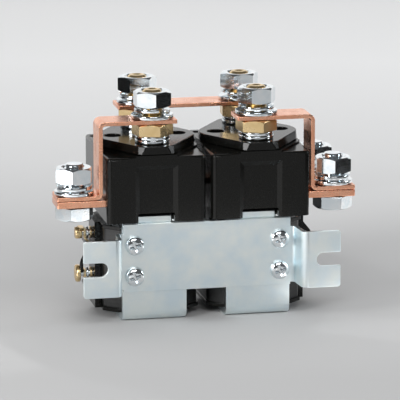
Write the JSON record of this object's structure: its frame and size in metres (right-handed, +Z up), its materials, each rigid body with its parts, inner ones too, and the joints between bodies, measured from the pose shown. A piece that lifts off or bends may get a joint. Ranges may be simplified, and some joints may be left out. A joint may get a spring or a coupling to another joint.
{
  "type": "reversing dc contactor pair",
  "caption": "Paired high current dc contactors with copper link bars on one slotted bracket; each coil lifts a sprung plunger and bridge between lower and upper contacts.",
  "frame": {"origin": "under the middle of the whole object, on the undersides of the two yokes", "axes": "+Z up along the studs, +X to the right along the row of contactors, -Y towards the mounting ears"},
  "size_m": [0.1148, 0.0562, 0.0887],
  "materials": {
    "zinc_plate": "bright zinc plate",
    "copper": "bare copper, satin",
    "brass": "turned brass",
    "black_moulding": "glossy thermoset moulding",
    "coil_wrap": "smooth wrapping",
    "spring_steel": "drawn wire"
  },
  "bodies": {
    "contactor_base": {"left_housing": "black_moulding", "left_cover": "black_moulding", "left_yoke": "zinc_plate", "left_pole_plate": "zinc_plate", "left_coil": "coil_wrap", "left_coil_terminal_high": "brass", "left_coil_terminal_low": "brass", "left_return_spring": "spring_steel", "right_housing": "black_moulding", "right_cover": "black_moulding", "right_yoke": "zinc_plate", "right_pole_plate": "zinc_plate", "right_coil": "coil_wrap", "right_coil_terminal_high": "brass", "right_coil_terminal_low": "brass", "right_return_spring": "spring_steel", "front_left_bar": "copper", "front_right_bar": "copper", "front_left_lower_bar": "copper", "front_right_lower_bar": "copper", "rear_lower_bar": "copper", "rear_link_bar": "copper", "mounting_bracket": "zinc_plate", "front_left_stud": "brass", "front_left_seat_washers": "zinc_plate", "front_left_flat_washer": "zinc_plate", "front_left_lock_washer": "zinc_plate", "front_left_nut": "zinc_plate", "front_right_stud": "brass", "front_right_seat_washers": "zinc_plate", "front_right_flat_washer": "zinc_plate", "front_right_lock_washer": "zinc_plate", "front_right_nut": "zinc_plate", "rear_left_stud": "brass", "rear_left_seat_washers": "zinc_plate", "rear_left_flat_washer": "zinc_plate", "rear_left_lock_washer": "zinc_plate", "rear_left_nut": "zinc_plate", "rear_right_stud": "brass", "rear_right_seat_washers": "zinc_plate", "rear_right_flat_washer": "zinc_plate", "rear_right_lock_washer": "zinc_plate", "rear_right_nut": "zinc_plate", "lower_left_bolt": "zinc_plate", "lower_left_flat_washer": "zinc_plate", "lower_left_lock_washer": "zinc_plate", "lower_left_nut": "zinc_plate", "lower_right_bolt": "zinc_plate", "lower_right_flat_washer": "zinc_plate", "lower_right_lock_washer": "zinc_plate", "lower_right_nut": "zinc_plate", "lower_rear_bolt": "zinc_plate", "lower_rear_flat_washer": "zinc_plate", "lower_rear_lock_washer": "zinc_plate", "lower_rear_nut": "zinc_plate"},
    "left_moving_contact": {"left_armature": "zinc_plate", "left_contact_bridge": "copper"},
    "right_moving_contact": {"right_armature": "zinc_plate", "right_contact_bridge": "copper"}
  },
  "joints": [
    {"name": "left_contact_slide", "type": "slide", "parent": "contactor_base", "child": "left_moving_contact", "axis": [0, 0, 1], "range_m": [0, 0.003], "stiffness_N_per_m": 600, "springref_m": -0.002, "deforming": ["left_return_spring"]},
    {"name": "right_contact_slide", "type": "slide", "parent": "contactor_base", "child": "right_moving_contact", "axis": [0, 0, 1], "range_m": [0, 0.003], "stiffness_N_per_m": 600, "springref_m": -0.002, "deforming": ["right_return_spring"]}
  ]
}
